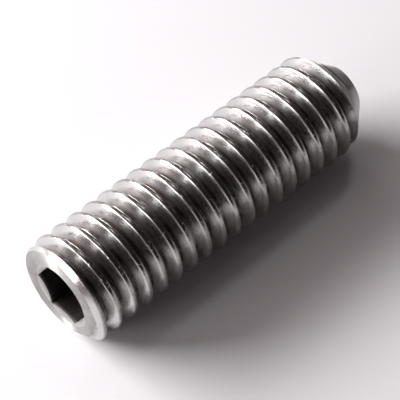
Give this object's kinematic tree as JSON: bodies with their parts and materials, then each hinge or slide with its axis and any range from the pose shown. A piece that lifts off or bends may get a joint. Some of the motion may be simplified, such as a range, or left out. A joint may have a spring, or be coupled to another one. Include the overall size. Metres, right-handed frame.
{
  "type": "grub set screw",
  "caption": "Headless set screw threaded along its whole length, with a hexagon socket in one end and a cup point on the other.",
  "frame": {"origin": "centre of the flat socket end face, which the screw stands on", "axes": "+Z along the screw, from the socket end to the cup point; +Y and -Y point at two opposite corners of the hexagon"},
  "size_m": [0.0058, 0.0058, 0.0196],
  "materials": {
    "steel": "bright"
  },
  "bodies": {
    "root": {"set_screw": "steel"}
  },
  "joints": []
}
